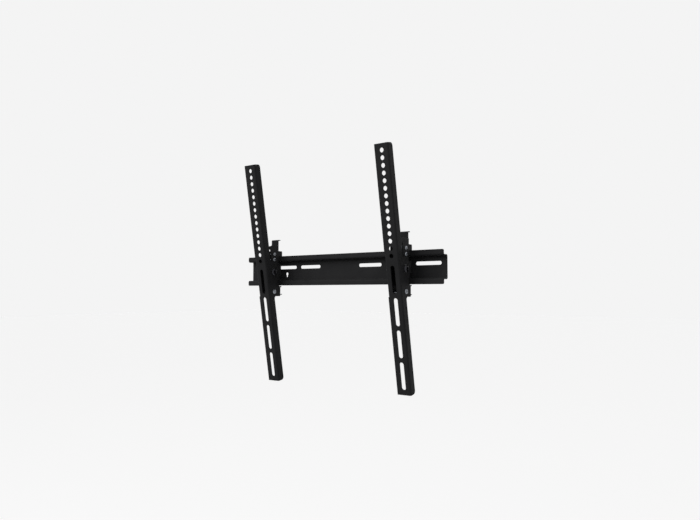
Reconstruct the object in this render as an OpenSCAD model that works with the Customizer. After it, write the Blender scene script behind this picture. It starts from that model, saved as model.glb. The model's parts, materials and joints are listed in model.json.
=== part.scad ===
// Tilting wall mount for a flat screen: a folded wall plate and two hook-on tilting arms.
// Millimetres. The origin is the middle of the wall plate on the wall itself.
// +X is right as seen from the room, +Y goes into the wall and +Z is up.

/* [Wall plate] */
// Length of the wall plate
plate_w = 450; // [380:5:620]
// Height over the two flanges that run back to the wall
plate_box_h = 42.2; // [38:0.1:52]
// Height of each lip that stands above or below its flange
lip_h = 8.4; // [7:0.1:11]
// Depth from the wall to the front of the lips
plate_d = 15.5; // [13.5:0.5:22]
// Sheet thickness of the wall plate
plate_t = 2; // [1.5:0.1:2.5]
// Inside radius of the plate's folds
plate_fold_r = 1.5; // [1:0.1:2]
// Radius of the corners at the ends of the lips
lip_corner_r = 2.5; // [1:0.5:4]

/* [Wall screw slots] */
// Length of one slot, end to end
wall_slot_l = 50; // [30:1:60]
// Width of one slot
wall_slot_w = 6.5; // [5:0.5:9]
// Metal left between two slots
wall_slot_gap = 10; // [6:1:20]
// Middle of the plate to the first slot
wall_slot_start = 45; // [25:1:60]
// Metal left between the last slot and the plate's end
wall_slot_end = 8; // [6:1:20]
// Height of the slots above the plate's centre line
wall_slot_z = 7; // [0:0.5:9]

/* [Levelling keyholes] */
// Middle of the plate to each keyhole
key_x = 130.7; // [60:0.1:170]
// Height of the keyhole's round end
key_z = -5.9; // [-9:0.1:-4]
// Diameter of the round end
key_d = 6; // [5:0.5:8]
// Width of the narrow end
key_neck_w = 3.4; // [3:0.1:4.4]
// Height of the whole keyhole
key_h = 9.6; // [8:0.1:11]
// Diameter of the dished seat round it
dish_d = 15; // [13:0.5:18]
// Depth of the dished seat
dish_depth = 0.8; // [0.4:0.1:1]

/* [Arms] */
// Distance between the two arms
arm_spacing = 300; // [120:10:400]
// Length of each arm
arm_l = 430; // [330:5:520]
// Width of an arm's front face
arm_w = 26.6; // [25:0.2:34]
// Sheet thickness of the arms
arm_t = 2; // [1.5:0.1:2.5]
// Depth of the flange that stiffens the arm
flange_d = 15; // [12:0.5:17]
// Inside radius of the arm's folds
arm_fold_r = 1; // [0.8:0.1:1.5]
// Radius of the flange's corners at both ends
flange_corner_r = 5.5; // [2:0.5:8]

/* [Screen holes] */
// Diameter of the round screen holes
hole_d = 8; // [6:0.5:9]
// Number of round holes in one arm
hole_n = 15; // [4:1:15]
// Distance from one round hole to the next
hole_pitch = 12.67; // [11:0.01:14]
// Top of the arm to the first hole
hole_top = 11.4; // [8:0.1:16]
// Last round hole to the end of the first slot
hole_to_slot = 16.15; // [12:0.05:24]
// Length of one long slot
slot_l = 48.5; // [30:0.5:60]
// Width of the long slots
slot_w = 8.2; // [6:0.1:9]
// Distance from one long slot to the next
slot_pitch = 55.8; // [54:0.1:70]
// Metal left below the last slot
slot_end = 8; // [6:0.5:20]

/* [Tilt joint] */
// Forward tilt that the arms are drawn at
tilt = 10; // [0:1:10]
// Largest forward tilt
tilt_max = 10; // [10:0.5:12]
// Distance of the tilt axis in front of the wall plate's lips
pivot_out = 20.5; // [19.5:0.5:26]
// Height of the tilt axis above the plate's centre line
pivot_z = -3; // [-4:0.5:2]
// Distance of the tilt axis behind the arm's front face
pivot_depth = 19.6; // [19:0.1:22]
// Height of the arm's middle above the tilt axis
arm_rise = -2; // [-12:1:12]
// Diameter of the pivot bolt
pivot_d = 8; // [6:0.5:8]
// Outside diameter of the sleeve round the pivot bolt
sleeve_d = 12; // [11:0.5:13]
// Radial running clearance of the pivot bolt
pivot_play = 0.06; // [0.03:0.01:0.1]

/* [Ears] */
// Depth of the ears behind the arm's front face
ear_d = 34; // [33:0.5:36]
// Top of the right ear above the tilt axis
ear_top = 52; // [50:1:60]
// Bottom of the right ear below the tilt axis
ear_bottom = 51; // [48:1:60]
// Top of the shorter left ear above the tilt axis
left_ear_top = 31; // [30:0.5:33]
// Bottom of the left ear below the tilt axis
left_ear_bottom = 46; // [44:1:50]
// Width of the viewing slot in the right ear
window_w = 4.4; // [4:0.1:5]
// Length of the viewing slot
window_l = 27; // [20:1:28]

/* [Hook bracket] */
// Sheet thickness of the hook brackets
bracket_t = 2; // [1.5:0.1:2.5]
// Clearance between a bracket's cheek and the ear beside it
cheek_play = 0.3; // [0.2:0.05:0.5]
// Inside radius of the bracket's folds
bracket_fold_r = 1; // [0.8:0.1:1.5]
// Height of each of the two webs between the cheeks
web_h = 7; // [6.5:0.1:8]
// Reach of the cheeks into the wall plate behind the front of its lips
channel_reach = 4.8; // [3:0.2:8]
// Clearance in front of the lips
lip_play = 0.2; // [0.1:0.05:0.4]
// Clearance over the top lip
hook_play = 0.1; // [0.05:0.05:0.3]
// Thickness of the finger that drops behind the top lip
finger_t = 5.5; // [2.5:0.1:6]
// Reach of the finger below the top of the lip
finger_l = 5.8; // [5:0.1:6]
// Height of the hook over the top lip
hook_h = 10.4; // [8:0.2:12]
// Clearance under the bottom lip
tail_play = 1; // [0.8:0.1:2]
// Reach of the tail behind the front of the lips
tail_l = 6; // [4:0.5:8]

/* [Safety latch] */
// Sheet thickness of the latch
latch_t = 1.5; // [1:0.1:1.6]
// Clearance between the latch and the cheek on each side
latch_gap = 0.3; // [0.2:0.1:1]
// Clearance in front of and behind the latch
latch_play = 0.2; // [0.1:0.05:0.3]
// Travel that frees the latch from the bottom lip
latch_travel = 5.5; // [5:0.1:6]
// Grip of the latch's tongue behind the bottom lip
latch_grip = 4.5; // [3.5:0.1:4.8]
// Height of the latch's upper tab
latch_top = 63; // [58:1:70]
// Height of the latch's lower tab
latch_bottom = -48; // [-52:1:-46]
// Depth of the upper tab
top_tab_l = 5.5; // [5:0.5:9]
// Depth of the lower tab
bottom_tab_l = 12.4; // [10:0.2:13]

/* [Fasteners] */
// Height of the lock screw above the tilt axis
lock_z = 35.5; // [34:0.5:36]
// Height of the stop screw above the tilt axis
stop_z = 24.8; // [23:0.1:25]
// Depth of the lower screw below the tilt axis
lower_z = 38.8; // [38:0.1:40]
// Shank diameter of the lock screw and the stop screw
screw_d = 4; // [3:0.5:5]
// Shank diameter of the lower screw
lower_d = 5; // [4:0.5:5]
// Clearance of a screw in its travel slot, all round
slot_play = 0.35; // [0.25:0.05:0.5]

/* [Hidden] */
$fn = 48;
eps = 0.01;
// Overcut of a hole beyond the metal on each side
over = 1;
// Overlap of two pieces of one sheet
lap = 1;

// Wall plate
lip_front = -plate_d;
lip_back = lip_front + plate_t;
lip_top = plate_box_h / 2 + lip_h;
dish_slope = 2;
wall_slot_step = wall_slot_l + wall_slot_gap;
wall_slot_room = plate_w / 2 - wall_slot_start - wall_slot_end + wall_slot_gap;
wall_slot_n = floor(wall_slot_room / wall_slot_step);

// Arm, measured from the tilt axis with z along the arm
pivot_y = plate_d + pivot_out;
arm_front = -pivot_depth;
arm_top = arm_l / 2 + arm_rise;
arm_bottom = arm_top - arm_l;
arm_edge = arm_w / 2;
flange_back = arm_front + flange_d;
ear_back = arm_front + ear_d;
hole_z = arm_top - hole_top;
slot_z = hole_z - (hole_n - 1) * hole_pitch - hole_to_slot - slot_l / 2;
slot_room = slot_z + slot_l / 2 - arm_bottom - slot_end + slot_pitch - slot_l;
slot_n = floor(slot_room / slot_pitch);
ear_root = 3;
ear_r = 4;
ear_foot_out = 0.5;
foot_r = 2;
waist_r = 5;
lower_rim = 3;
rim_below = 4;
rim_above = 8;
window_lap = 0.2;
window_top = 6;

// Places of the screws, behind the tilt axis and above it, when the arm leans fully forward
lock_at = [2.2, lock_z];
stop_at = [2.1, stop_z];
lower_at = [2.8, -lower_z];
screw_play = 0.1;

// Hook bracket, in the frame of the wall plate
cheek_out = arm_edge - arm_t - cheek_play;
cheek_in = cheek_out - bracket_t;
cheek_front = -pivot_y - 9;
cheek_cut = -pivot_y - 3.4;
cheek_low = pivot_z - 48;
cut_low = pivot_z + 12;
cut_high = pivot_z + 15;
chin_w = 5;
chin_h = 7;
cheek_r = 3;
edge_r = 2;
bearing = lip_front - lip_play;
raised_top = 50.5;
raised_back = bearing - 2.8;
latch_back = bearing - latch_play;
latch_front = latch_back - latch_t;
web_back = latch_front - latch_play;
web_front = web_back - bracket_t;
web_mid = web_back - bracket_t / 2;
fold_start = web_back - bracket_fold_r - bracket_t;
relief = 1.5;
hook_top = lip_top + hook_play + hook_h;
throat_back = lip_back + 0.4;
throat_r = 0.3;
finger_back = throat_back + finger_t;
finger_r = 1.2;
finger_slope = 1.5;
tail_z = -lip_top - tail_play;
tail_back = lip_front + tail_l;
tail_h = 2.2;
tail_r = 0.6;
lower_edge = lip_front + 3;
lift_play = 2.8;
tab_back = lip_front + channel_reach;
tab_top = plate_box_h / 2 - plate_t - finger_l - lift_play;
web_low = tab_top + relief;
web_top = web_low + web_h;

// Latch, spring and rivets
latch_w = 2 * (cheek_in - latch_gap);
rivet_z = [web_low + web_h / 2, -web_low - web_h / 2];
rivet_d = 4;
rivet_play = 0.1;
rivet_head_d = 6.4;
rivet_head_h = 1.3;
upset_h = 0.9;
lug_z = 0;
lug_w = 7;
lug_l = 9.5;
cut_play = 0.3;
bend_r = 0.5;
tongue_w = 8;
tongue_z = tail_z - 1.2;
tongue_gap = 0.6;
tongue_root = 3;
tongue_cut = latch_bottom + 4;
spring_r = 2.6;
wire_r = 0.4;
spring_turns = 8;
spring_gap = 0.05;
spring_y = web_front - 1.2 - spring_r - wire_r;
shelf_fold = -web_top;
shelf_z = shelf_fold - bracket_fold_r;
shelf_w = lug_w + 2;
spring_low = shelf_z + spring_gap;
spring_high = lug_z - latch_t - spring_gap;

// Fasteners
washer_t = 1;
washer_d = 16;
pivot_head_d = 13;
pivot_head_h = 3.5;
pivot_socket = 5;
nut_af = 13;
nut_h = 6.5;
nut_play = 0.05;
screw_head_d = 8;
screw_head_h = 2.4;
screw_socket = 2.5;
lower_head_d = 9.2;
lower_head_h = 1.8;
lower_socket = 3;
small_nut_af = 7;
small_nut_h = 3.2;
lower_nut_af = 8;
tip_l = 1;
hex_scale = 2 / sqrt(3);

black = "#2a2a2b";
steel = "#b9bcc0";
nylon = "#1b1b1c";

// Turns the point p about the tilt axis by a degrees, top towards the room
function turned(p, a) = [p[0] * cos(a) - p[1] * sin(a), p[0] * sin(a) + p[1] * cos(a)];

// Unit vector of v
function unit(v) = v / norm(v);

// Tangent length of a corner at b between a and c that is rounded to radius r
function tangent(a, b, c, r) =
    let (u = unit(a - b), v = unit(c - b), half = acos(u * v) / 2)
    r / tan(half);

// Side on which a path turns at b: above 0 is a left turn
function turn(a, b, c) = (b[0] - a[0]) * (c[1] - b[1]) - (b[1] - a[1]) * (c[0] - b[0]);

// Centre of the arc that rounds the corner at b
function arc_centre(a, b, c, r) =
    let (u = unit(a - b), v = unit(c - b), half = acos(u * v) / 2)
    b + unit(u + v) * r / sin(half);

// Point of row i of an outline of [x, y, radius] rows, counted round
function row(rows, i) = [rows[(i + len(rows)) % len(rows)][0], rows[(i + len(rows)) % len(rows)][1]];

// The two tangent points of a rounded corner, or the corner itself
function corner_points(a, b, c, r) =
    r == 0
        ? [b]
        : let (l = tangent(a, b, c, r))
          [b + unit(a - b) * l, b + unit(c - b) * l];

// Flat outline with true arcs at its corners. Rows are [x, y, radius], counter-clockwise.
module outline(rows) {
    n = len(rows);
    chain = [
        for (i = [0 : n - 1])
            each corner_points(row(rows, i - 1), row(rows, i), row(rows, i + 1), rows[i][2])
    ];
    difference() {
        union() {
            polygon(chain);
            for (i = [0 : n - 1])
                if (rows[i][2] > 0 && turn(row(rows, i - 1), row(rows, i), row(rows, i + 1)) > 0)
                    translate(arc_centre(row(rows, i - 1), row(rows, i), row(rows, i + 1), rows[i][2]))
                        circle(rows[i][2]);
        }
        for (i = [0 : n - 1])
            if (rows[i][2] > 0 && turn(row(rows, i - 1), row(rows, i), row(rows, i + 1)) < 0)
                translate(arc_centre(row(rows, i - 1), row(rows, i), row(rows, i + 1), rows[i][2]))
                    circle(rows[i][2]);
    }
}

// Section of a folded sheet of thickness t that follows a middle line, with inside fold radius r
module folded(path, t, r) {
    n = len(path);
    mid_r = r + t / 2;
    for (i = [0 : n - 2]) {
        a = path[i];
        b = path[i + 1];
        cut_a = i == 0 ? 0 : tangent(path[i - 1], a, b, mid_r);
        cut_b = i == n - 2 ? 0 : tangent(a, b, path[i + 2], mid_r);
        along = unit(b - a);
        start = a + along * cut_a;
        translate(start)
            rotate(atan2(along[1], along[0]))
                translate([0, -t / 2])
                    square([norm(b - a) - cut_a - cut_b, t]);
    }
    for (i = [1 : n - 2]) {
        a = path[i - 1];
        b = path[i];
        c = path[i + 1];
        centre = arc_centre(a, b, c, mid_r);
        l = tangent(a, b, c, mid_r);
        pa = b + unit(a - b) * l;
        pc = b + unit(c - b) * l;
        reach = 1.5;
        intersection() {
            translate(centre)
                difference() {
                    circle(r + t);
                    circle(r);
                }
            polygon([
                centre,
                centre + (pa - centre) * reach,
                centre + unit(b - centre) * mid_r * 2 * reach,
                centre + (pc - centre) * reach
            ]);
        }
    }
}

// Straight slot, l long over its ends and w wide, along x
module slot(l, w) {
    square([l - w, w], center = true);
    for (side = [-1, 1])
        translate([side * (l - w) / 2, 0])
            circle(d = w);
}

// Lifts a flat shape drawn in (Y, Z) so that it runs from x0 along +X for t
module along_x(x0, t) {
    translate([x0, 0, 0])
        rotate([90, 0, 90])
            linear_extrude(t)
                children();
}

// Lifts a flat shape drawn in (X, Z) so that it runs from y0 along +Y for t
module along_y(y0, t) {
    translate([0, y0 + t, 0])
        rotate([90, 0, 0])
            linear_extrude(t)
                children();
}

// Puts its children on the middle line of an arm: side is -1 for the left arm, 1 for the right
module at_arm(side) {
    translate([side * arm_spacing / 2, 0, 0])
        children();
}

// Puts its children on the tilt axis of an arm, leant forward by the drawn tilt
module at_tilt(side) {
    translate([side * arm_spacing / 2, -pivot_y, pivot_z])
        rotate([tilt, 0, 0])
            children();
}

// Keyhole with its narrow end down, drawn round the middle of its round end
module keyhole() {
    neck_low = key_h - key_d / 2 - key_neck_w / 2;
    circle(d = key_d);
    translate([-key_neck_w / 2, -neck_low])
        square([key_neck_w, neck_low]);
    translate([0, -neck_low])
        circle(d = key_neck_w);
}

// Cut that rounds a square corner at the origin to radius r, where the metal lies towards -x, -y
module corner_cut(r) {
    translate([-r, -r])
        difference() {
            square(r + over);
            circle(r);
        }
}

// Wall plate: a hat section, open to the room, with a lip above and below for the hooks
module wall_plate() {
    web_mid = -plate_t / 2;
    lip_mid = lip_front + plate_t / 2;
    flange_mid = plate_box_h / 2 - plate_t / 2;
    color(black)
        difference() {
            along_x(-plate_w / 2, plate_w)
                folded([
                    [lip_mid, lip_top],
                    [lip_mid, flange_mid],
                    [web_mid, flange_mid],
                    [web_mid, -flange_mid],
                    [lip_mid, -flange_mid],
                    [lip_mid, -lip_top]
                ], plate_t, plate_fold_r);
            for (side = [-1, 1]) {
                for (i = [0 : wall_slot_n - 1])
                    along_y(-plate_t - over, plate_t + 2 * over)
                        translate([
                            side * (wall_slot_start + wall_slot_l / 2 + i * wall_slot_step),
                            wall_slot_z
                        ])
                            slot(wall_slot_l, wall_slot_w);
                along_y(-plate_t - over, plate_t + 2 * over)
                    translate([side * key_x, key_z])
                        keyhole();
                translate([side * key_x, -plate_t - eps, key_z - key_h / 8])
                    rotate([-90, 0, 0])
                        cylinder(d1 = dish_d, d2 = dish_d - 2 * dish_slope, h = dish_depth + eps);
                for (end = [-1, 1])
                    along_y(lip_front - over, plate_t + 2 * over)
                        scale([side, end])
                            translate([plate_w / 2, lip_top])
                                corner_cut(lip_corner_r);
            }
        }
}

// Back of the ear beside the lower screw
lower_back = turned(lower_at, -tilt_max)[0] + lower_head_d / 2 + lower_rim;

// Side outline of the part of the right ear that stands behind the flange
module right_ear_outline() {
    outline([
        [flange_back - ear_root, -ear_bottom, 0],
        [flange_back + ear_foot_out, -ear_bottom, foot_r],
        [lower_back, -lower_z - rim_below, cheek_r],
        [lower_back, -lower_z + rim_above, ear_r],
        [ear_back, -sleeve_d, waist_r],
        [ear_back, ear_top, ear_r],
        [flange_back - ear_root, ear_top, 0]
    ]);
}

// Side outline of the left ear
module left_ear_outline() {
    ear_front = arm_front + arm_fold_r + arm_t;
    outline([
        [ear_front, -left_ear_bottom, 0],
        [lower_back - ear_r, -left_ear_bottom, cheek_r],
        [lower_back, -lower_z + rim_above - 2 * ear_r + cheek_r, cheek_r],
        [ear_back, -sleeve_d, waist_r],
        [ear_back, left_ear_top, ear_r],
        [ear_front, left_ear_top, 0]
    ]);
}

// Section of the arm's front face with its right flange, and the left one where asked
module arm_section(both) {
    front_mid = arm_front + arm_t / 2;
    side_mid = arm_edge - arm_t / 2;
    right = [
        [both ? 0 : -arm_edge, front_mid],
        [side_mid, front_mid],
        [side_mid, flange_back]
    ];
    folded(right, arm_t, arm_fold_r);
    if (both)
        folded([
            [eps, front_mid],
            [-side_mid, front_mid],
            [-side_mid, flange_back]
        ], arm_t, arm_fold_r);
}

// Arm: one folded strip with its flange, its two ears and all its holes
module arm(side) {
    at_tilt(side)
        color(black)
            difference() {
                union() {
                    translate([0, 0, left_ear_top])
                        linear_extrude(arm_top - left_ear_top)
                            arm_section(false);
                    translate([0, 0, -left_ear_bottom])
                        linear_extrude(left_ear_bottom + left_ear_top)
                            arm_section(true);
                    translate([0, 0, arm_bottom])
                        linear_extrude(-left_ear_bottom - arm_bottom)
                            arm_section(false);
                    along_x(arm_edge - arm_t, arm_t)
                        right_ear_outline();
                    along_x(-arm_edge, arm_t)
                        left_ear_outline();
                }
                for (end = [-1, 1])
                    along_x(arm_edge - arm_t - arm_fold_r - over, arm_t + arm_fold_r + 2 * over)
                        translate([flange_back, end > 0 ? arm_top : arm_bottom])
                            scale([1, end])
                                corner_cut(flange_corner_r);
                along_y(arm_front - over, arm_t + 2 * over) {
                    for (i = [0 : hole_n - 1])
                        translate([0, hole_z - i * hole_pitch])
                            circle(d = hole_d);
                    for (i = [0 : slot_n - 1])
                        translate([0, slot_z - i * slot_pitch])
                            rotate(90)
                                slot(slot_l, slot_w);
                }
                ear_hole([0, 0], pivot_d + 2 * pivot_play);
                ear_hole(turned(lock_at, -tilt_max), screw_d + 2 * screw_play);
                ear_hole(turned(stop_at, -tilt_max), screw_d + 2 * screw_play);
                ear_hole(turned(lower_at, -tilt_max), lower_d + 2 * screw_play);
                along_x(arm_edge - arm_t - over, arm_t + 2 * over)
                    translate([
                        flange_back + window_w / 2 - window_lap,
                        ear_top - window_top - window_l / 2
                    ])
                        rotate(90)
                            slot(window_l, window_w);
            }
}

// Hole through both ears at p, measured from the tilt axis
module ear_hole(p, d) {
    along_x(-arm_edge - over, arm_w + 2 * over)
        translate(p)
            circle(d = d);
}

// Slot in the cheeks for a screw that stands at p when the arm leans fully forward. The screw's
// arc about the tilt axis is so short that a straight slot along its chord clears it.
module travel_slot(p, d) {
    upright = turned(p, -tilt_max);
    path = p - upright;
    l = norm(path) + d + 2 * slot_play;
    translate([-pivot_y, pivot_z])
        translate((p + upright) / 2)
            rotate(atan2(path[1], path[0]))
                slot(l, d + 2 * slot_play);
}

// Rows that both cheeks share: the lower end, the tail under the bottom lip, the edge that bears on
// the lips, the tab between the lips and the hook over the top lip
cheek_rows = [
    [cheek_front, cheek_low + chin_h, cheek_r],
    [cheek_front + chin_w, cheek_low, cheek_r],
    [lower_edge, cheek_low, edge_r],
    [lower_edge, tail_z - tail_h, tail_r],
    [tail_back, tail_z - tail_h, tail_r],
    [tail_back, tail_z, tail_r],
    [bearing, tail_z, tail_r],
    [bearing, -web_top - relief, 0],
    [fold_start, -web_top - relief, 0],
    [fold_start, -tab_top, 0],
    [tab_back, -tab_top, edge_r],
    [tab_back, tab_top, edge_r],
    [fold_start, tab_top, 0],
    [fold_start, web_top + relief, 0],
    [bearing, web_top + relief, 0],
    [bearing, lip_top + hook_play, throat_r],
    [throat_back, lip_top + hook_play, throat_r],
    [throat_back, lip_top - finger_l, finger_r],
    [finger_back, lip_top - finger_l + finger_slope, finger_r],
    [finger_back, hook_top, edge_r]
];

// Left cheek: straight from the hook to its front edge
left_cheek_rows = concat(cheek_rows, [
    [cheek_front, hook_top, cheek_r]
]);

// Right cheek: raised behind the ear and cut back behind the ear's viewing slot
right_cheek_rows = concat(cheek_rows, [
    [raised_back, hook_top, 0],
    [raised_back, raised_top, edge_r],
    [cheek_cut, raised_top, cheek_r],
    [cheek_cut, cut_high, edge_r],
    [cheek_front, cut_low, edge_r]
]);

// Hook bracket: a folded channel whose cheeks hook over the top lip and reach under the bottom one
module hook_bracket(side) {
    at_arm(side)
        color(black)
            difference() {
                union() {
                    along_x(-cheek_out, bracket_t)
                        outline(left_cheek_rows);
                    along_x(cheek_in, bracket_t)
                        outline(right_cheek_rows);
                    for (z = [-web_top, web_low])
                        translate([0, 0, z])
                            linear_extrude(web_h)
                                bracket_web();
                    along_x(-shelf_w / 2, shelf_w)
                        folded([
                            [web_mid, shelf_fold + lap],
                            [web_mid, shelf_z - bracket_t / 2],
                            [spring_y - spring_r - wire_r - lap, shelf_z - bracket_t / 2]
                        ], bracket_t, bracket_fold_r);
                }
                along_x(-cheek_out - over, 2 * (cheek_out + over)) {
                    translate([-pivot_y, pivot_z])
                        circle(d = pivot_d + 2 * pivot_play);
                    travel_slot(stop_at, screw_d);
                    travel_slot(lower_at, lower_d);
                }
                along_x(cheek_in - over, bracket_t + 2 * over)
                    travel_slot(lock_at, screw_d);
                along_y(web_front - over, bracket_t + 2 * over)
                    for (z = rivet_z)
                        translate([0, z])
                            circle(d = rivet_d);
            }
}

// Section of a web and the start of both cheeks
module bracket_web() {
    x = cheek_out - bracket_t / 2;
    folded([
        [-x, fold_start - lap],
        [-x, web_mid],
        [x, web_mid],
        [x, fold_start - lap]
    ], bracket_t, bracket_fold_r);
}

// Safety latch: a strip behind the webs with a finger tab at each end and a tongue behind the lip
module latch(side) {
    mid = latch_back - latch_t / 2;
    tongue_y = lip_back + tongue_gap + latch_t / 2;
    slide_w = rivet_d + 2 * rivet_play;
    at_arm(side)
        color(black)
            union() {
                difference() {
                    along_x(-latch_w / 2, latch_w)
                        folded([
                            [latch_back + top_tab_l, latch_top - latch_t / 2],
                            [mid, latch_top - latch_t / 2],
                            [mid, latch_bottom + latch_t / 2],
                            [latch_back + bottom_tab_l - latch_t, latch_bottom + latch_t / 2]
                        ], latch_t, bracket_fold_r);
                    along_y(latch_front - over, latch_t + 2 * over) {
                        for (z = rivet_z)
                            translate([0, z + latch_travel / 2])
                                rotate(90)
                                    slot(slide_w + latch_travel, slide_w);
                        translate([-lug_w / 2 - cut_play, lug_z])
                            square([lug_w + 2 * cut_play, lug_l]);
                        translate([-tongue_w / 2 - cut_play, tongue_cut])
                            square([tongue_w + 2 * cut_play, tongue_z - latch_t - tongue_cut]);
                    }
                }
                along_x(-lug_w / 2, lug_w)
                    folded([
                        [mid, lug_z - latch_t - lap],
                        [mid, lug_z - latch_t / 2],
                        [latch_front - lug_l, lug_z - latch_t / 2]
                    ], latch_t, bend_r);
                along_x(-tongue_w / 2, tongue_w)
                    folded([
                        [mid, tongue_z + tongue_root],
                        [mid, tongue_z - latch_t / 2],
                        [tongue_y, tongue_z - latch_t / 2],
                        [tongue_y, -lip_top + latch_grip]
                    ], latch_t, bend_r);
            }
}

// Rivets on which the latch slides: a head behind the latch and an upset end before each web
module latch_rivets(side) {
    upset_d = rivet_d + 2 * rivet_play + 2;
    at_arm(side)
        color(steel)
            for (z = rivet_z)
                translate([0, 0, z])
                    rotate([90, 0, 0]) {
                        translate([0, 0, -latch_back - rivet_head_h - spring_gap])
                            cylinder(d = rivet_head_d, h = rivet_head_h);
                        translate([0, 0, -latch_back - rivet_head_h])
                            cylinder(d = rivet_d, h = rivet_head_h + latch_back - web_front + upset_h / 2);
                        translate([0, 0, -web_front])
                            cylinder(d1 = upset_d, d2 = rivet_d + rivet_play, h = upset_h);
                    }
}

// One ring of the spring's wire at turn fraction u, square to the coil
function wire_ring(u, sides) =
    let (
        a = 360 * u,
        rise = spring_rise(u)
    )
    [
        for (k = [0 : sides - 1])
            let (r = spring_r + wire_r * cos(360 * k / sides))
            [r * cos(a), r * sin(a), rise + wire_r * sin(360 * k / sides)]
    ];

// Height of the wire after u turns: one closed turn at each end and an even pitch between
function spring_rise(u) =
    let (
        closed = 2 * wire_r + spring_gap,
        low = wire_r,
        high = spring_high - spring_low - wire_r,
        free = high - low - 2 * closed
    )
    u < 1 ? low + closed * u
    : u > spring_turns - 1 ? high - closed * (spring_turns - u)
    : low + closed + free * (u - 1) / (spring_turns - 2);

// Compression spring that lifts the latch
module latch_spring(side) {
    sides = 8;
    steps = 14;
    rings = spring_turns * steps + 1;
    points = [for (i = [0 : rings - 1]) each wire_ring(i / steps, sides)];
    skin = [
        for (i = [0 : rings - 2], k = [0 : sides - 1])
            let (a = i * sides + k, b = i * sides + (k + 1) % sides)
            [a, a + sides, b + sides, b]
    ];
    caps = [
        [for (k = [0 : sides - 1]) k],
        [for (k = [sides - 1 : -1 : 0]) (rings - 1) * sides + k]
    ];
    at_arm(side)
        color(steel)
            translate([0, spring_y, spring_low])
                polyhedron(points, concat(skin, caps));
}

// Sleeve that keeps the cheeks apart round the pivot bolt
module pivot_sleeve(side) {
    l = 2 * (cheek_in - nut_play);
    at_arm(side)
        translate([-l / 2, -pivot_y, pivot_z])
            rotate([0, 90, 0])
                color(steel)
                    difference() {
                        cylinder(d = sleeve_d, h = l);
                        translate([0, 0, -over])
                            cylinder(d = pivot_d + 2 * pivot_play, h = l + 2 * over);
                    }
}

// Hexagon, af across its flats
module hexagon(af) {
    circle(d = af * hex_scale, $fn = 6);
}

// Cap of diameter d and height h with a rounded rim and a hexagon socket
module socket_head(d, h, socket_af) {
    rim = 0.4 * h;
    socket_depth = 0.6 * h;
    difference() {
        rotate_extrude()
            outline([
                [0, 0, 0],
                [d / 2, 0, 0],
                [d / 2, h, rim],
                [0, h, 0]
            ]);
        translate([0, 0, h - socket_depth])
            linear_extrude(h)
                hexagon(socket_af);
    }
}

// Screw along X at p from the tilt axis: its shank runs from x = tip to the head, which stands on
// x = seat
module ear_screw(side, p, d, head_d, head_h, socket_af, seat, tip) {
    at_tilt(side)
        translate([0, p[0], p[1]])
            rotate([0, 90, 0])
                color(steel)
                    union() {
                        translate([0, 0, tip])
                            cylinder(d = d, h = seat - tip + 0.3 * head_h);
                        translate([0, 0, seat])
                            socket_head(head_d, head_h, socket_af);
                    }
}

// Nut that stands on x = seat and reaches towards -X, with chamfered corners and a bore that clears
// the shank
module ear_nut(side, p, d, af, h, seat) {
    corner_d = af * hex_scale + over;
    chamfer_h = h / 4;
    at_tilt(side)
        translate([seat, p[0], p[1]])
            rotate([0, -90, 0])
                color(steel)
                    difference() {
                        intersection() {
                            linear_extrude(h)
                                hexagon(af);
                            union() {
                                cylinder(d = corner_d, h = h - chamfer_h);
                                translate([0, 0, h - chamfer_h])
                                    cylinder(d1 = corner_d, d2 = 0.96 * af, h = chamfer_h);
                            }
                        }
                        translate([0, 0, -over])
                            cylinder(d = d + 2 * nut_play, h = h + 2 * over);
                    }
}

// Pivot bolt, low socket head at the right
module pivot_bolt(side) {
    ear_screw(side, [0, 0], pivot_d, pivot_head_d, pivot_head_h, pivot_socket,
        arm_edge + washer_t, -arm_edge - washer_t - nut_h - tip_l);
}

// Nylon washers under the head and the nut of the pivot bolt
module pivot_washers(side) {
    at_tilt(side)
        rotate([0, 90, 0])
            color(nylon)
                for (x = [-arm_edge - washer_t, arm_edge])
                    translate([0, 0, x])
                        difference() {
                            cylinder(d = washer_d, h = washer_t);
                            translate([0, 0, -over])
                                cylinder(d = pivot_d + 2 * screw_play, h = washer_t + 2 * over);
                        }
}

// Lock nut of the pivot bolt
module pivot_nut(side) {
    ear_nut(side, [0, 0], pivot_d, nut_af, nut_h, -arm_edge - washer_t);
}

// Screw that locks the chosen tilt: it clamps the right ear to the right cheek
module lock_screw(side) {
    ear_screw(side, turned(lock_at, -tilt_max), screw_d, screw_head_d, screw_head_h, screw_socket,
        arm_edge, cheek_in - nut_play - small_nut_h - tip_l);
}

// Nut of the lock screw, inside the right cheek
module lock_nut(side) {
    ear_nut(side, turned(lock_at, -tilt_max), screw_d, small_nut_af, small_nut_h, cheek_in - nut_play);
}

// Screw that stops the tilt at both ends of its slot
module stop_screw(side) {
    ear_screw(side, turned(stop_at, -tilt_max), screw_d, screw_head_d, screw_head_h, screw_socket,
        arm_edge, -arm_edge - small_nut_h - tip_l);
}

// Nut of the stop screw
module stop_nut(side) {
    ear_nut(side, turned(stop_at, -tilt_max), screw_d, small_nut_af, small_nut_h, -arm_edge);
}

// Lower screw, which keeps the ears beside the cheeks
module lower_screw(side) {
    ear_screw(side, turned(lower_at, -tilt_max), lower_d, lower_head_d, lower_head_h, lower_socket,
        arm_edge, -arm_edge - small_nut_h - tip_l);
}

// Nut of the lower screw
module lower_nut(side) {
    ear_nut(side, turned(lower_at, -tilt_max), lower_d, lower_nut_af, small_nut_h, -arm_edge);
}

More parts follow.
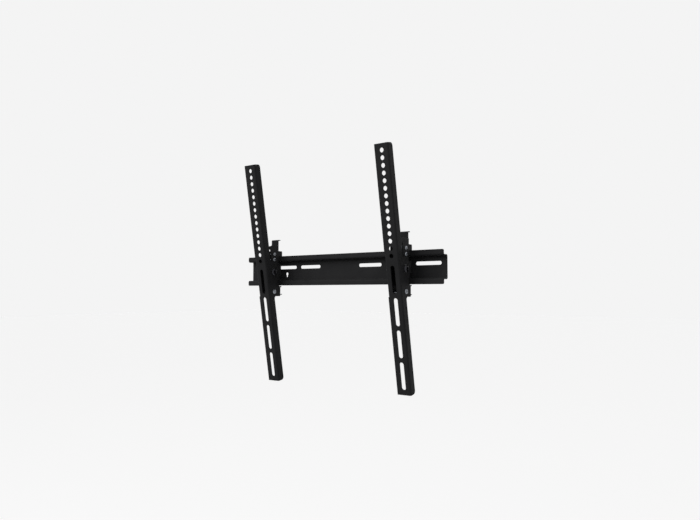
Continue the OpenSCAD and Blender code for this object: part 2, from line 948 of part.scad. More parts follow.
wall_plate();
arm(-1);  // left_arm
hook_bracket(-1);  // left_hook_bracket
latch(-1);  // left_latch
latch_spring(-1);  // left_latch_spring
latch_rivets(-1);  // left_latch_rivets
pivot_bolt(-1);  // left_pivot_bolt
pivot_sleeve(-1);  // left_pivot_sleeve
pivot_washers(-1);  // left_pivot_washers
pivot_nut(-1);  // left_pivot_nut
lock_screw(-1);  // left_lock_screw
lock_nut(-1);  // left_lock_nut
stop_screw(-1);  // left_stop_screw
stop_nut(-1);  // left_stop_nut
lower_screw(-1);  // left_lower_screw
lower_nut(-1);  // left_lower_nut
arm(1);  // right_arm
hook_bracket(1);  // right_hook_bracket
latch(1);  // right_latch
latch_spring(1);  // right_latch_spring
latch_rivets(1);  // right_latch_rivets
pivot_bolt(1);  // right_pivot_bolt
pivot_sleeve(1);  // right_pivot_sleeve
pivot_washers(1);  // right_pivot_washers
pivot_nut(1);  // right_pivot_nut
lock_screw(1);  // right_lock_screw
lock_nut(1);  // right_lock_nut
stop_screw(1);  // right_stop_screw
stop_nut(1);  // right_stop_nut
lower_screw(1);  // right_lower_screw
lower_nut(1);  // right_lower_nut
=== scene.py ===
# %% [markdown]
# # A tilting wall mount in matte black
#
# The real thing is a folded steel rail that is screwed to a wall, and two folded steel arms that
# hook over it and lean forward. Nearly all of it is sheet steel with one finish, so the look rests
# on two things: a powder coat that is dark without being a black hole, and small bright screws
# that break it up.
#
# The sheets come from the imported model, where their folds and holes are already exact. Blender
# adds what a pressing does not have: threads, sockets, chamfers, a wound spring, rivets, and every
# finish.

# %% Load the frame
import json
import math

import bpy
import numpy as np
from mathutils import Matrix, Vector


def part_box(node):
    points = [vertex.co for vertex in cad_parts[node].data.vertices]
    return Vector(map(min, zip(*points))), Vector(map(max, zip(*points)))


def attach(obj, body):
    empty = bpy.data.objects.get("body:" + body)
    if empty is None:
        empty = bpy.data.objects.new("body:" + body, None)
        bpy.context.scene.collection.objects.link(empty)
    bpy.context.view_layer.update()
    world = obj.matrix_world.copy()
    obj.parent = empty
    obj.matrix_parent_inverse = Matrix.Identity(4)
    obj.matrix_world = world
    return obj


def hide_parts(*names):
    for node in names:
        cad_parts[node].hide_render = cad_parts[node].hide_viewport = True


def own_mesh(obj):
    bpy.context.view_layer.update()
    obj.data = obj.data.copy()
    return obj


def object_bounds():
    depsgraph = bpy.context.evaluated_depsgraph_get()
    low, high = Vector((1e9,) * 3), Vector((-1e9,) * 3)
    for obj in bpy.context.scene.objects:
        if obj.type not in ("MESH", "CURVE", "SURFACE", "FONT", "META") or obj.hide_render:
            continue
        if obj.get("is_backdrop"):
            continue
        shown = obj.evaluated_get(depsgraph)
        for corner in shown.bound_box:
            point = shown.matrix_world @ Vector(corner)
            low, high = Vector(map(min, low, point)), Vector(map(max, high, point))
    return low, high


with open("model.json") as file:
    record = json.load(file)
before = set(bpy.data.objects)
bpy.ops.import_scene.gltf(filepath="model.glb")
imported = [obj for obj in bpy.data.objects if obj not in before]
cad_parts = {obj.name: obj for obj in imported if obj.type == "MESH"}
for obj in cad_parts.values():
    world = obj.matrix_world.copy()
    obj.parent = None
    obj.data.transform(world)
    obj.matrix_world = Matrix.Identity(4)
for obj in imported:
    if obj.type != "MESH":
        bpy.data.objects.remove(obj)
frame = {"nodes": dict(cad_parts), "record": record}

cad_low, cad_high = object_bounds()
print("size in mm:", [round((b - a) * 1000, 1) for a, b in zip(cad_low, cad_high)])

# %% [markdown]
# ## Units and sides
#
# Every size of a screw or a nut is known in millimetres, and Blender works in metres. One factor
# at the place where points go into a mesh keeps both readable.

# %% Units and sides
MM = 0.001
SIDES = ("left", "right")


def centre_mm(node):
    """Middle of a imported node's box, in millimetres."""
    low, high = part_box(node)
    return np.array([(a + b) / 2 / MM for a, b in zip(low, high)])


def ends_mm(node, axis):
    """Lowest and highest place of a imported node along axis 0, 1 or 2, in millimetres."""
    low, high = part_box(node)
    return low[axis] / MM, high[axis] / MM


for side in SIDES:
    print(side, "tilt axis at", centre_mm(f"{side}_pivot_bolt").round(1))

# %% [markdown]
# ## Colours
#
# Colours are written as they look on a screen, in sRGB hex. Blender mixes light in linear numbers,
# so one function turns the one into the other, and nothing else in the file does.

# %% Colours
COAT_DARK = "#252526"
COAT_LIGHT = "#2a2a2b"
COAT_RUBBED = "#353536"


def linear(hex_colour):
    """sRGB hex colour to linear red, green, blue and alpha.

    Each channel c is c / 12.92 below 0.04045, and ((c + 0.055) / 1.055) to the power 2.4 above it.
    """
    channels = np.array([int(hex_colour[i : i + 2], 16) for i in (1, 3, 5)]) / 255
    low = channels / 12.92
    high = ((channels + 0.055) / 1.055) ** 2.4
    return (*(float(c) for c in np.where(channels <= 0.04045, low, high)), 1.0)


print("the coat's grey in linear numbers:", [round(c, 4) for c in linear(COAT_LIGHT)])

# %% [markdown]
# ## Adding nodes
#
# A material is a small graph. This function adds one node: keywords set its own options, and the
# dictionary fills its sockets, with a plain value or with the socket of another node, which makes
# a link.

# %% Adding nodes


def add(tree, kind, sockets=None, **options):
    """Adds a node of a kind to a tree, sets its options and fills or links its sockets."""
    made = tree.nodes.new(kind)
    for name, value in options.items():
        setattr(made, name, value)
    for name, value in (sockets or {}).items():
        if isinstance(value, bpy.types.NodeSocket):
            tree.links.new(value, made.inputs[name])
        else:
            made.inputs[name].default_value = value
    return made


def new_material(name):
    """An empty node material: its tree, and the node that everything ends in."""
    material = bpy.data.materials.new(name)
    material.use_nodes = True
    material.node_tree.nodes.clear()
    return material, material.node_tree


def grain(tree, size_mm, detail=2.0, roughness=0.5):
    """A noise whose lumps are about size_mm wide, on the object's own coordinates in metres."""
    place = add(tree, "ShaderNodeTexCoord")
    return add(
        tree,
        "ShaderNodeTexNoise",
        {
            "Vector": place.outputs["Object"],
            "Scale": 1 / (size_mm * MM),
            "Detail": detail,
            "Roughness": roughness,
        },
    ).outputs["Fac"]


def ramp(tree, value, low, high, start=0.3, stop=0.7):
    """Turns a value into a number between low and high, evenly as it goes from start to stop."""
    return add(
        tree,
        "ShaderNodeMapRange",
        {"Value": value, "From Min": start, "From Max": stop, "To Min": low, "To Max": high},
    ).outputs["Result"]


def two_tone(tree, share, colour_a, colour_b):
    """Mixes two linear colours, or colour sockets, by a share. Output 2 is the node's colour."""
    return add(
        tree,
        "ShaderNodeMix",
        {"Factor": share, "A": colour_a, "B": colour_b},
        data_type="RGBA",
    ).outputs[2]


# %% [markdown]
# ## Powder coat
#
# The sheets wear a matte black polyester powder coat: a dry powder, sprayed on by static charge
# and baked until it flows together. It never flows quite flat. Up close it has a fine grit of
# about half a millimetre over a slower wave of about 3 mm, and where it wraps round an edge it is
# thinner and rubs a shade lighter. Two noises give the grit and the wave as bump. The edge is
# found by comparing the true normal with one that is rounded over half a millimetre: they differ
# only beside an edge.

# %% Powder coat
COAT_GRIT_MM = 0.55
COAT_WAVE_MM = 3.2
COAT_CLOUD_MM = 45
COAT_EDGE_MM = 0.45
COAT_PATCH_MM = 9
COAT_SHINE = 0.05


def powder_coat():
    """Matte black polyester powder coat on folded steel: dark, dry, with a fine grit."""
    material, tree = new_material("matte_black_powder_coat")
    cloud = ramp(tree, grain(tree, COAT_CLOUD_MM, detail=3), 0.0, 1.0)
    body = two_tone(tree, cloud, linear(COAT_DARK), linear(COAT_LIGHT))
    rounded = add(
        tree, "ShaderNodeBevel", {"Radius": COAT_EDGE_MM * MM}, samples=4
    ).outputs["Normal"]
    true = add(tree, "ShaderNodeNewGeometry").outputs["Normal"]
    likeness = add(
        tree, "ShaderNodeVectorMath", {0: rounded, 1: true}, operation="DOT_PRODUCT"
    ).outputs["Value"]
    edge = ramp(tree, likeness, 1.0, 0.0, start=0.8, stop=0.99)
    colour = two_tone(tree, edge, body, linear(COAT_RUBBED))
    wave = add(
        tree,
        "ShaderNodeBump",
        {
            "Height": grain(tree, COAT_WAVE_MM, detail=1),
            "Strength": 0.25,
            "Distance": 0.06 * MM,
            "Normal": rounded,
        },
    ).outputs["Normal"]
    grit = add(
        tree,
        "ShaderNodeBump",
        {
            "Height": grain(tree, COAT_GRIT_MM, detail=2, roughness=0.6),
            "Strength": 0.5,
            "Distance": 0.03 * MM,
            "Normal": wave,
        },
    ).outputs["Normal"]
    rough = ramp(tree, grain(tree, COAT_PATCH_MM, detail=3), 0.52, 0.62)
    shader = add(
        tree,
        "ShaderNodeBsdfPrincipled",
        {
            "Base Color": colour,
            "Roughness": rough,
            "Normal": grit,
            "IOR": 1.5,
            "Specular IOR Level": COAT_SHINE,
        },
    )
    add(tree, "ShaderNodeOutputMaterial", {"Surface": shader.outputs[0]})
    return material


# %% [markdown]
# ## Plated and blackened steel
#
# The small screws are zinc plated: bright, a little blue, with cloudy patches where the
# passivation took unevenly. The pivot bolt is black oxide, a conversion of the steel itself, so it
# stays a metal and keeps a low oily shine that the powder coat beside it has not got. The same
# function makes both, because only the colours and the sharpness of the shine differ.

# %% Plated and blackened steel
STEEL_MARKS_MM = 0.35


def plated_steel(name, dark, light, rough_low, rough_high, patch_mm):
    """Turned steel under a thin finish: patchy tint, fine tool marks and a soft shine."""
    material, tree = new_material(name)
    patch = ramp(tree, grain(tree, patch_mm, detail=4), 0.0, 1.0)
    tint = two_tone(tree, patch, linear(dark), linear(light))
    marks = add(
        tree,
        "ShaderNodeBump",
        {
            "Height": grain(tree, STEEL_MARKS_MM, detail=2),
            "Strength": 0.25,
            "Distance": 0.01 * MM,
        },
    ).outputs["Normal"]
    shader = add(
        tree,
        "ShaderNodeBsdfPrincipled",
        {
            "Base Color": tint,
            "Metallic": 1.0,
            "Roughness": ramp(tree, grain(tree, patch_mm / 2, detail=3), rough_low, rough_high),
            "Normal": marks,
        },
    )
    add(tree, "ShaderNodeOutputMaterial", {"Surface": shader.outputs[0]})
    return material


# %% [markdown]
# ## Nylon
#
# The washers beside the pivot are moulded nylon, dyed black. Nylon is waxy: it lets a little light
# in, so its edges are never as crisp as metal, and its gloss is low and broad.

# %% Nylon
NYLON_DARK = "#161617"
NYLON_LIGHT = "#1c1c1d"
NYLON_PATCH_MM = 6
NYLON_SKIN_MM = 0.3


def moulded_nylon():
    """Black moulded nylon: waxy, with a low broad gloss and a faint spark-eroded texture."""
    material, tree = new_material("black_moulded_nylon")
    share = ramp(tree, grain(tree, NYLON_PATCH_MM, detail=2), 0.0, 1.0)
    tint = two_tone(tree, share, linear(NYLON_DARK), linear(NYLON_LIGHT))
    skin = add(
        tree,
        "ShaderNodeBump",
        {"Height": grain(tree, NYLON_SKIN_MM), "Strength": 0.3, "Distance": 0.01 * MM},
    ).outputs["Normal"]
    shader = add(
        tree,
        "ShaderNodeBsdfPrincipled",
        {
            "Base Color": tint,
            "Roughness": 0.42,
            "IOR": 1.53,
            "Specular IOR Level": 0.3,
            "Normal": skin,
        },
    )
    add(tree, "ShaderNodeOutputMaterial", {"Surface": shader.outputs[0]})
    return material


# %% Make the finishes
COAT = powder_coat()
ZINC = plated_steel("clear_zinc_plate", "#6c6f73", "#90949a", 0.24, 0.38, 2.5)
BLACK_OXIDE = plated_steel("black_oxide_steel", "#2c2c2f", "#3e3e42", 0.28, 0.42, 3.0)
SPRING_STEEL = plated_steel("zinc_plated_spring_wire", "#505357", "#6c6f73", 0.26, 0.36, 2.0)
NYLON = moulded_nylon()
FINISHES = {
    "black_powder_coat": COAT,
    "zinc_plated_steel": ZINC,
    "black_oxide_steel": BLACK_OXIDE,
    "black_nylon": NYLON,
}


def wear(piece, material):
    """Gives a piece one finish in all its material slots."""
    piece.data.materials.clear()
    piece.data.materials.append(material)


slot_of = {row["node"]: row["material_slot"] for row in frame["record"]["subparts"]}
for node, packed in frame["nodes"].items():
    wear(packed, FINISHES[slot_of[node]])
print("finishes:", ", ".join(m.name for m in FINISHES.values()))

# %% [markdown]
# ## Turned surfaces
#
# A screw, a nut and a rivet are all the same kind of surface: rings round an axis, one after
# another, whose radius may change with the angle, as it does on a hexagon or a thread. So each is
# a grid of points, ring by angle, worked out as whole arrays. A surface that starts and ends on
# its axis is closed with a fan to a single point, and one with a bore has its last ring joined to
# its first.

# %% Turned surfaces


def angles(count):
    """Even angles round a circle, without the last, which is the first again."""
    return np.linspace(0, 2 * np.pi, count, endpoint=False)


def hexagon_radius(theta, flats):
    """Radius of a hexagon at each angle.

    It is half the width over flats, over the cosine of the angle from the flat's middle.
    """
    away = (theta + np.pi / 6) % (np.pi / 3) - np.pi / 6
    return flats / 2 / np.cos(away)


def ring_faces(rings, count, joined):
    """Quads between neighbouring rings of count points.

    If they are joined, also between the last ring and the first.
    """
    a = np.arange(rings if joined else rings - 1)[:, None] * count
    b = np.arange(count)[None, :]
    nxt = (b + 1) % count
    up = (a + count) % (rings * count)
    return np.stack([a + b, a + nxt, up + nxt, up + b], axis=-1).reshape(-1, 4)


def fan_faces(ring_start, count, tip, outward):
    """Triangles from one ring to a tip point, turned so that they face outwards."""
    b = np.arange(count)
    nxt = (b + 1) % count
    pair = (nxt, b) if outward else (b, nxt)
    return np.stack([ring_start + pair[0], ring_start + pair[1], np.full(count, tip)], axis=-1)


def solid_arrays(rings, joined):
    """Points and faces of one solid from an array of rings, ring by angle by (x, y, z).

    Rings that aren't joined are closed by a fan at each end, to the middle of the end ring.
    """
    count, around = rings.shape[:2]
    points = rings.reshape(-1, 3)
    faces = ring_faces(count, around, joined).tolist()
    if not joined:
        tips = np.array([rings[0].mean(axis=0), rings[-1].mean(axis=0)])
        points = np.vstack([points, tips])
        tip = count * around
        faces += fan_faces(0, around, tip, outward=True).tolist()
        faces += fan_faces(tip - around, around, tip + 1, outward=False).tolist()
    return points, faces


def piece_of_solids(name, solids, joined=False):
    """One piece from the ring arrays of one or more solids, all in millimetres."""
    points, faces = [], []
    for rings in solids:
        more_points, more_faces = solid_arrays(rings, joined)
        first = sum(len(rows) for rows in points)
        points.append(more_points)
        faces += [[corner + first for corner in face] for face in more_faces]
    mesh = bpy.data.meshes.new(name)
    mesh.from_pydata((np.vstack(points) * MM).tolist(), [], faces)
    mesh.update()
    piece = bpy.data.objects.new(name, mesh)
    bpy.context.scene.collection.objects.link(piece)
    return piece


def turned(radius, along, place, axis):
    """Rings of a turned solid. radius and along are arrays, ring by angle, in millimetres.

    A point is place, plus along on the axis, plus radius times (cos, sin) on the two directions
    across it.
    """
    theta = angles(radius.shape[1])
    axis = np.array(axis, dtype=float)
    across = np.array([0.0, 0.0, 1.0])
    third = np.cross(axis, across)
    round_ = np.cos(theta)[:, None] * across + np.sin(theta)[:, None] * third
    along = np.broadcast_to(along, radius.shape)
    return place + along[..., None] * axis + radius[..., None] * round_[None]


def smooth_but_sharp(piece, limit_degrees=32):
    """Smooth shading that stays sharp where two faces meet at more than the limit."""
    mesh = piece.data
    mesh.polygons.foreach_set("use_smooth", [True] * len(mesh.polygons))
    mesh.set_sharp_from_angle(angle=math.radians(limit_degrees))


def finish_piece(piece, node, finish, body):
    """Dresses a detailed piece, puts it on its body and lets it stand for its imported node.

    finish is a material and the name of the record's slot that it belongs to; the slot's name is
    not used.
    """
    material, slot = finish
    smooth_but_sharp(piece)
    wear(piece, material)
    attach(piece, body)
    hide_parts(node)
    return piece


ZINC_FINISH = (ZINC, "zinc_plated_steel")
SPRING_FINISH = (SPRING_STEEL, "zinc_plated_steel")
OXIDE_FINISH = (BLACK_OXIDE, "black_oxide_steel")
NYLON_FINISH = (NYLON, "black_nylon")


# %% [markdown]
# ## Threads
#
# A metric thread is a triangle wave wound round the shank: going once round moves it up by one
# pitch. At a height and an angle, the phase is height over pitch less the share of the turn. The
# wave's tips are cut flat for an eighth of the pitch and its roots for a quarter, and it is 0.61
# of the pitch deep. A short cone cuts it at the screw's point, and at its other end it fades out
# over a turn and a half.

# %% Threads
PITCH_MM = {4: 0.7, 5: 0.8, 8: 1.25}
THREAD_DEPTH = 0.6134
CREST_FLAT = 1 / 8
ROOT_FLAT = 1 / 4
POINT_PITCHES = 0.75
RUNOUT_PITCHES = 1.5
RINGS_A_PITCH = 8
ROUND = 36


def thread_radius(theta, height, size):
    """Radius of a metric thread of a size at each angle and height."""
    pitch = PITCH_MM[size]
    phase = (height / pitch - theta / (2 * np.pi)) % 1.0
    wave = np.abs(2 * phase - 1)
    cut = np.clip((wave - CREST_FLAT) / (1 - CREST_FLAT - ROOT_FLAT), 0, 1)
    return size / 2 - THREAD_DEPTH * pitch * cut


def profile(rows):
    """Splits rows of (radius, height, hexagon's share) into three columns."""
    return tuple(np.array(column, dtype=float)[:, None] for column in zip(*rows))


# %% [markdown]
# ## Screws
#
# Each screw is one closed surface from its point to the floor of its socket: the cone at the
# point, the thread, the plain shank, the seat, the rim, the domed cap, the countersunk mouth of
# the socket and its hexagon walls. A ring of the cap is round and a ring of the socket is a
# hexagon, so each row of the profile says how much of a hexagon it is.

# %% Screws


def arc_rows(r_start, h_start, r_end, h_end, count):
    """Quarter of an ellipse from a rim to a flatter top, as rows of (radius, height, 0)."""
    t = np.linspace(0, np.pi / 2, count)
    radius = r_end + (r_start - r_end) * np.cos(t)
    height = h_start + (h_end - h_start) * np.sin(t)
    return [(r, h, 0.0) for r, h in zip(radius, height)]


def screw(name, node, size, head_d, head_h, socket, thread_l, finish, body):
    """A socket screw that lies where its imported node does, head towards +X.

    Rings up to the shank's end come from the thread's formula, the rest from the head's profile.
    That goes from the fillet under the head over its rim and cap and down into the socket.
    """
    theta = angles(ROUND)[None, :]
    tip, top = ends_mm(node, 0)
    middle = centre_mm(node)
    seat = top - head_h
    pitch = PITCH_MM[size]
    height = np.linspace(0, thread_l, int(thread_l / pitch * RINGS_A_PITCH))[:, None]
    cone = size / 2 - POINT_PITCHES * pitch + height
    runout = np.clip((thread_l - height) / (RUNOUT_PITCHES * pitch), 0, 1)
    wound = thread_radius(theta, height, size)
    wound = size / 2 - (size / 2 - wound) * runout
    shank = np.minimum(wound, cone)
    shank_at = np.broadcast_to(tip + height, shank.shape)
    mouth = socket / 2 * 1.16
    rim = head_h * 0.28
    rows = [
        (size / 2, seat - 0.25, 0.0),
        (size / 2 + 0.12, seat - 0.06, 0.0),
        (size / 2 + 0.3, seat, 0.0),
        (head_d / 2 - 0.15, seat, 0.0),
        (head_d / 2, seat + 0.12, 0.0),
        (head_d / 2, seat + rim, 0.0),
        *arc_rows(head_d / 2, seat + rim, mouth + 0.25, top, 9)[1:],
        (mouth, top - 0.02, 0.0),
        (socket / 2 * 1.03, top - 0.28, 0.75),
        (socket / 2, top - 0.34, 1.0),
        (socket / 2, seat + head_h * 0.34, 1.0),
        (socket / 2 * 0.5, seat + head_h * 0.26, 0.3),
        (socket / 2 * 0.1, seat + head_h * 0.2, 0.0),
    ]
    radius, at, share = profile(rows)
    hexagonal = hexagon_radius(theta, 2.0) * radius
    head = radius * (1 - share) + hexagonal * share
    head_at = np.broadcast_to(at, head.shape)
    rings = turned(
        np.vstack([shank, head]),
        np.vstack([shank_at, head_at]),
        np.array([0.0, middle[1], middle[2]]),
        (1, 0, 0),
    )
    return finish_piece(piece_of_solids(name, [rings]), node, finish, body)


SCREWS = {
    "lock_screw": dict(size=4, head_d=7.2, head_h=2.4, socket=2.5, thread_l=5.5),
    "stop_screw": dict(size=4, head_d=7.2, head_h=2.4, socket=2.5, thread_l=12.0),
    "lower_screw": dict(size=5, head_d=9.2, head_h=1.8, socket=3.0, thread_l=12.0),
    "pivot_bolt": dict(size=8, head_d=13.0, head_h=3.5, socket=5.0, thread_l=16.0),
}
for side in SIDES:
    for kind, sizes in SCREWS.items():
        node = f"{side}_{kind}"
        finish = OXIDE_FINISH if kind == "pivot_bolt" else ZINC_FINISH
        made = screw(f"{node}_threaded", node, finish=finish, body=f"{side}_screen_arm", **sizes)
        print(made.name, len(made.data.polygons), "faces")

# %% [markdown]
# ## Nuts
#
# A nut is a loop rather than a closed end: up its threaded bore, across the top, down the hexagon
# and back. Its corners are cut by a cone at both faces, which leaves the curved scallops that
# every real nut has. That is just the smaller of two radii, the hexagon's and the cone's. The
# pivot's nut has a rolled collar, which on a real one holds a ring that keeps it from shaking
# loose. Here collar and ring are one zinc surface.

# %% Nuts
BORE_PLAY_MM = 0.08
CORNER_CUT_MM = 0.9
CORNER_CUT_RINGS = 7
CORNER_CUT_DEGREES = 30
FACE_SHARE = 0.97


def nut_loop(theta, size, flats, height, collar):
    """Radius and height of a nut's rings, from the bore's foot round to the bore's foot again."""
    inner = size / 2
    bore_top = height - collar
    turns = np.linspace(0, bore_top, int(bore_top / PITCH_MM[size] * RINGS_A_PITCH))[:, None]
    bore = thread_radius(theta, turns, size) + BORE_PLAY_MM
    mouth = inner + 0.12
    upper = np.linspace(bore_top, bore_top - CORNER_CUT_MM, CORNER_CUT_RINGS)
    lower = np.linspace(CORNER_CUT_MM, 0, CORNER_CUT_RINGS)
    rise = np.concatenate([upper, lower])[:, None]
    slope = math.tan(math.radians(CORNER_CUT_DEGREES))
    from_top = (bore_top - rise) / slope + flats / 2 * FACE_SHARE
    from_foot = rise / slope + flats / 2 * FACE_SHARE
    outer = np.minimum(hexagon_radius(theta, flats), np.minimum(from_top, from_foot))
    cap = [(mouth, bore_top, 0.0)]
    if collar:
        lip = flats / 2 * 0.9
        cap = [
            (inner + 0.05, bore_top, 0.0),
            (inner + 0.05, bore_top + collar * 0.55, 0.0),
            (inner + 0.9, bore_top + collar * 0.6, 0.0),
            (inner + 0.95, height - 0.12, 0.0),
            (inner + 1.3, height, 0.0),
            *reversed(arc_rows(lip, bore_top + 0.2, inner + 1.5, height, 7)),
            (lip, bore_top, 0.0),
        ]
    radius, at, _ = profile(cap)
    shape = (len(cap), theta.size)
    foot = (1, theta.size)
    rings = [bore, np.broadcast_to(radius, shape), outer, np.full(foot, mouth)]
    heights = [
        np.broadcast_to(turns, bore.shape),
        np.broadcast_to(at, shape),
        np.broadcast_to(rise, outer.shape),
        np.zeros(foot),
    ]
    return np.vstack(rings), np.vstack(heights)


def nut(name, node, size, flats, collar, body):
    """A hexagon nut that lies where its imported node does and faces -X."""
    theta = angles(ROUND)[None, :]
    far, seat = ends_mm(node, 0)
    radius, height = nut_loop(theta, size, flats, seat - far, collar)
    middle = centre_mm(node)
    rings = turned(radius, height, np.array([seat, middle[1], middle[2]]), (-1, 0, 0))
    return finish_piece(piece_of_solids(name, [rings], joined=True), node, ZINC_FINISH, body)


NUTS = {
    "lock_nut": dict(size=4, flats=7.0, collar=0.0),
    "stop_nut": dict(size=4, flats=7.0, collar=0.0),
    "lower_nut": dict(size=5, flats=8.0, collar=0.0),
    "pivot_nut": dict(size=8, flats=13.0, collar=1.7),
}
for side in SIDES:
    for kind, sizes in NUTS.items():
        node = f"{side}_{kind}"
        made = nut(f"{node}_chamfered", node, body=f"{side}_screen_arm", **sizes)
        print(made.name, len(made.data.polygons), "faces")

# %% [markdown]
# ## Rivets, washers and sleeves
#
# Three more turned pieces. The latch slides on two rivets: a low domed head behind it, a plain
# shank, and an end that was squeezed out over the web. The nylon washers are flat rings with
# softened corners, because nylon shrinks away from a sharp edge as it cools in the mould. The
# sleeve between the cheeks is cut from black oxide tube, with a small chamfer at both ends from
# the saw's deburring. Rivets and washers come in pairs, so each pair is one piece of two solids,
# as it is one node in the model.

# %% Rivets, washers and sleeves
RIVET_HEAD_R_MM = 3.2
RIVET_SHANK_R_MM = 2.0
RIVET_HEAD_H_MM = 1.3
RIVET_END_H_MM = 0.9
WASHER_MM = dict(outer=8.0, bore=4.1, length=1.0, soft=0.18)
SLEEVE_MM = dict(outer=6.0, bore=4.06, soft=0.3)


def rivets(name, node, body):
    """The two rivets of a latch: dome, shank and squeezed end, along the Y axis from the back."""
    front, back = ends_mm(node, 1)
    low, high = ends_mm(node, 2)
    head_r, head_h = RIVET_HEAD_R_MM, RIVET_HEAD_H_MM
    shank_r, end_h = RIVET_SHANK_R_MM, RIVET_END_H_MM
    length = back - front
    crown = head_h * 0.75
    dome = reversed(arc_rows(head_r, 0.0, 0.25, crown, 9))
    rows = [
        *((r, crown - h, 0.0) for r, h, _ in dome),
        (head_r, head_h - 0.06, 0.0),
        (head_r - 0.1, head_h, 0.0),
        (shank_r, head_h, 0.0),
        (shank_r, length - end_h, 0.0),
        (head_r - 0.1, length - end_h, 0.0),
        (head_r - 0.05, length - end_h + 0.1, 0.0),
        (head_r - 0.35, length - end_h * 0.45, 0.0),
        (shank_r, length - 0.12, 0.0),
        (shank_r - 0.3, length, 0.0),
        (0.3, length - 0.2, 0.0),
    ]
    radius, at, _ = profile(rows)
    radius = np.broadcast_to(radius, (len(rows), ROUND))
    x = centre_mm(node)[0]
    heights = (low + head_r, high - head_r)
    solids = [turned(radius, at, np.array([x, back, z]), (0, -1, 0)) for z in heights]
    return finish_piece(piece_of_solids(name, solids), node, ZINC_FINISH, body)


def ring_rows(outer, bore, length, soft):
    """Rows of (radius, height) round the section of a ring, with its four corners cut by soft."""
    return [
        (bore, soft),
        (bore, length - soft),
        (bore + soft, length),
        (outer - soft, length),
        (outer, length - soft),
        (outer, soft),
        (outer - soft, 0.0),
        (bore + soft, 0.0),
    ]


def ring_solid(rows, start, middle):
    """A turned ring along the X axis from start, round a middle."""
    radius, at = (np.array(column)[:, None] for column in zip(*rows))
    radius = np.broadcast_to(radius, (len(rows), 2 * ROUND))
    return turned(radius, at, np.array([start, middle[1], middle[2]]), (1, 0, 0))


for side in SIDES:
    made = rivets(f"{side}_latch_rivets_domed", f"{side}_latch_rivets", f"{side}_carriage")
    print(made.name, len(made.data.polygons), "faces")
    node = f"{side}_pivot_washers"
    first, last = ends_mm(node, 0)
    starts = (first, last - WASHER_MM["length"])
    solids = [ring_solid(ring_rows(**WASHER_MM), start, centre_mm(node)) for start in starts]
    made = piece_of_solids(f"{node}_soft_edged", solids, joined=True)
    finish_piece(made, node, NYLON_FINISH, f"{side}_screen_arm")
    node = f"{side}_pivot_sleeve"
    first, last = ends_mm(node, 0)
    rows = ring_rows(length=last - first, **SLEEVE_MM)
    solids = [ring_solid(rows, first, centre_mm(node))]
    made = piece_of_solids(f"{node}_deburred", solids, joined=True)
    finish_piece(made, node, OXIDE_FINISH, f"{side}_carriage")

# %% [markdown]
# ## Latch springs
#
# Under each latch stands a compression spring. Its wire runs along a helix: the angle grows
# evenly, and the height hardly at all in the first and last turn, which lie closed, and evenly
# between them. The wire's circle is carried along with one direction always pointing away from the
# spring's axis. Both ends are ground flat, which is a limit on the height of every point.

# %% Latch springs
COIL_R_MM = 2.6
WIRE_R_MM = 0.4
COIL_TURNS = 8
STEPS_A_TURN = 40
WIRE_SIDES = 14
GROUND_MM = 0.12


def spring(name, node, body):
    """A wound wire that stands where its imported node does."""
    middle = centre_mm(node)
    low, high = ends_mm(node, 2)
    turn = np.linspace(0, COIL_TURNS, COIL_TURNS * STEPS_A_TURN + 1)[:, None]
    closed = 1.02 * 2 * WIRE_R_MM
    free = high - low - 2 * WIRE_R_MM - 2 * closed
    middle_rise = closed + free * (turn - 1) / (COIL_TURNS - 2)
    end_rise = high - low - 2 * WIRE_R_MM - closed * (COIL_TURNS - turn)
    rise = np.where(turn > COIL_TURNS - 1, end_rise, middle_rise)
    rise = np.where(turn < 1, closed * turn, rise)
    around = 2 * np.pi * turn
    wire = angles(WIRE_SIDES)[None, :]
    radius = COIL_R_MM + WIRE_R_MM * np.cos(wire)
    lift = low + WIRE_R_MM + rise + WIRE_R_MM * np.sin(wire)
    ground = np.clip(lift, low + GROUND_MM, high - GROUND_MM)
    rings = np.stack(
        [middle[0] + radius * np.cos(around), middle[1] + radius * np.sin(around), ground], axis=-1
    )
    made = finish_piece(piece_of_solids(name, [rings[::-1]]), node, SPRING_FINISH, body)
    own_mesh(made)
    return made


for side in SIDES:
    node = f"{side}_latch_spring"
    made = spring(f"{node}_wound", node, f"{side}_carriage")
    print(made.name, len(made.data.polygons), "faces")

# %% [markdown]
# ## Camera
#
# The photograph was taken from the right and a little below the rail, with a wide lens. Its place
# and direction were worked out from the evenly spaced holes of the two arms, which are a ruler in
# the picture.

# %% Camera
CAMERA_AT = Vector((0.65974, -0.91406, -0.04325))
CAMERA_FORWARD = Vector((-0.5702, 0.8197, 0.0546)).normalized()
CAMERA_UP = Vector((0.0312, -0.0448, 0.9985)).normalized()
LENS_MM = 30.39
SENSOR_MM = 36.0

camera_data = bpy.data.cameras.new("camera")
camera_data.lens = LENS_MM
camera_data.sensor_width = SENSOR_MM
camera = bpy.data.objects.new("camera", camera_data)
right = CAMERA_FORWARD.cross(CAMERA_UP).normalized()
up = right.cross(CAMERA_FORWARD)
turn_matrix = Matrix((right, up, -CAMERA_FORWARD)).transposed().to_4x4()
camera.matrix_world = Matrix.Translation(CAMERA_AT) @ turn_matrix
bpy.context.scene.collection.objects.link(camera)
bpy.context.scene.camera = camera
print("camera", [round(c, 3) for c in camera.location])

# %% [markdown]
# ## Floor, backdrop and light
#
# The mount hangs in the air over a pale floor, as it would on a wall at sitting height. The world
# is pale where the camera, a reflection or a clear material looks at it, and a plain grey light
# for everything else, so the background can be near white without flooding the steel. The floor
# takes part of its paleness the same way and part from the lamps, so it still keeps a shadow.

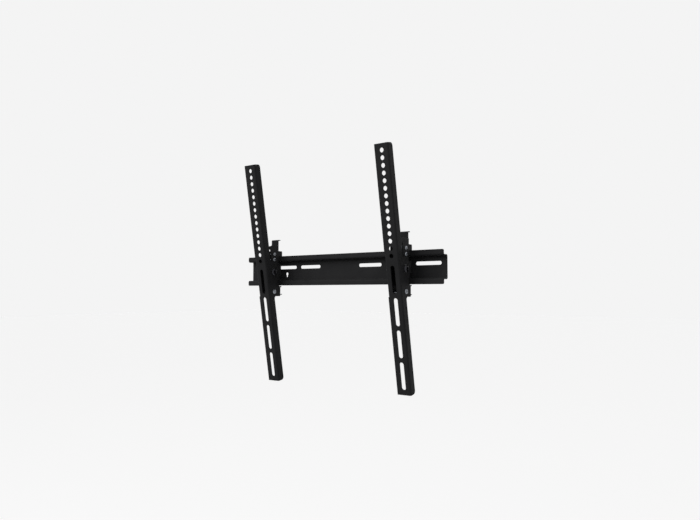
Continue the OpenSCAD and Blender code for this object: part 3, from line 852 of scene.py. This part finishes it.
# %% Floor, backdrop and light
PALE = "#f4f4f4"
FLOOR_GREY = "#8a8a8a"
FLOOR_GLOW = 0.83
FLOOR_Z = -1.25
FLOOR_SIZE = 60.0
WORLD_LIGHT = 0.62
MOUNT_MIDDLE = (0, 0, 0)


def seen_directly(tree):
    """1 where the camera, a mirror-like reflection or a clear material looks, and 0 elsewhere."""
    path = add(tree, "ShaderNodeLightPath")
    either = add(
        tree,
        "ShaderNodeMath",
        {0: path.outputs["Is Camera Ray"], 1: path.outputs["Is Glossy Ray"]},
        operation="MAXIMUM",
    ).outputs[0]
    return add(
        tree,
        "ShaderNodeMath",
        {0: either, 1: path.outputs["Is Transmission Ray"]},
        operation="MAXIMUM",
    ).outputs[0]


def studio_world():
    """A pale world to look at, and a plain soft light to be lit by."""
    world = bpy.data.worlds.new("studio")
    world.use_nodes = True
    tree = world.node_tree
    tree.nodes.clear()
    pale = add(tree, "ShaderNodeBackground", {"Color": linear(PALE), "Strength": 1.0})
    soft = add(
        tree, "ShaderNodeBackground", {"Color": linear("#ffffff"), "Strength": WORLD_LIGHT}
    )
    both = add(
        tree,
        "ShaderNodeMixShader",
        {0: seen_directly(tree), 1: soft.outputs[0], 2: pale.outputs[0]},
    )
    add(tree, "ShaderNodeOutputWorld", {"Surface": both.outputs[0]})
    return world


def floor_paint():
    """Pale studio floor: mostly a paleness of its own, and a matte part that takes the shadow."""
    material, tree = new_material("pale_studio_floor")
    matte = add(tree, "ShaderNodeBsdfDiffuse", {"Color": linear(FLOOR_GREY), "Roughness": 1.0})
    glow = add(tree, "ShaderNodeEmission", {"Color": linear(PALE), "Strength": FLOOR_GLOW})
    lit = add(tree, "ShaderNodeAddShader", {0: matte.outputs[0], 1: glow.outputs[0]})
    both = add(
        tree,
        "ShaderNodeMixShader",
        {0: seen_directly(tree), 1: matte.outputs[0], 2: lit.outputs[0]},
    )
    add(tree, "ShaderNodeOutputMaterial", {"Surface": both.outputs[0]})
    return material


def soft_lamp(name, place, aim, size, power):
    """A square area lamp at a place, turned towards a point."""
    data = bpy.data.lights.new(name, "AREA")
    data.size = size
    data.energy = power
    lamp = bpy.data.objects.new(name, data)
    lamp.location = place
    lamp.rotation_euler = (Vector(aim) - Vector(place)).to_track_quat("-Z", "Y").to_euler()
    bpy.context.scene.collection.objects.link(lamp)


bpy.context.scene.world = studio_world()
floor_mesh = bpy.data.meshes.new("floor")
half = FLOOR_SIZE / 2
corners = [
    (-half, -half, FLOOR_Z),
    (half, -half, FLOOR_Z),
    (half, half, FLOOR_Z),
    (-half, half, FLOOR_Z),
]
floor_mesh.from_pydata(corners, [], [(0, 1, 2, 3)])
floor = bpy.data.objects.new("floor", floor_mesh)
bpy.context.scene.collection.objects.link(floor)
wear(floor, floor_paint())
floor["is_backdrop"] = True

soft_lamp("key_lamp", place=(-1.2, -2.4, 1.5), aim=MOUNT_MIDDLE, size=2.2, power=50)
soft_lamp("fill_lamp", place=(2.6, -1.2, 0.6), aim=MOUNT_MIDDLE, size=2.0, power=2)

bpy.context.scene.view_settings.view_transform = "Standard"

# %% Sizes and the end
seen_low, seen_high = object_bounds()
sizes = {
    "cad": [list(cad_low), list(cad_high)],
    "visual": [list(seen_low), list(seen_high)],
}
print("grown in mm:", [round((b - a) * 1000, 2) for a, b in zip(cad_high, seen_high)])
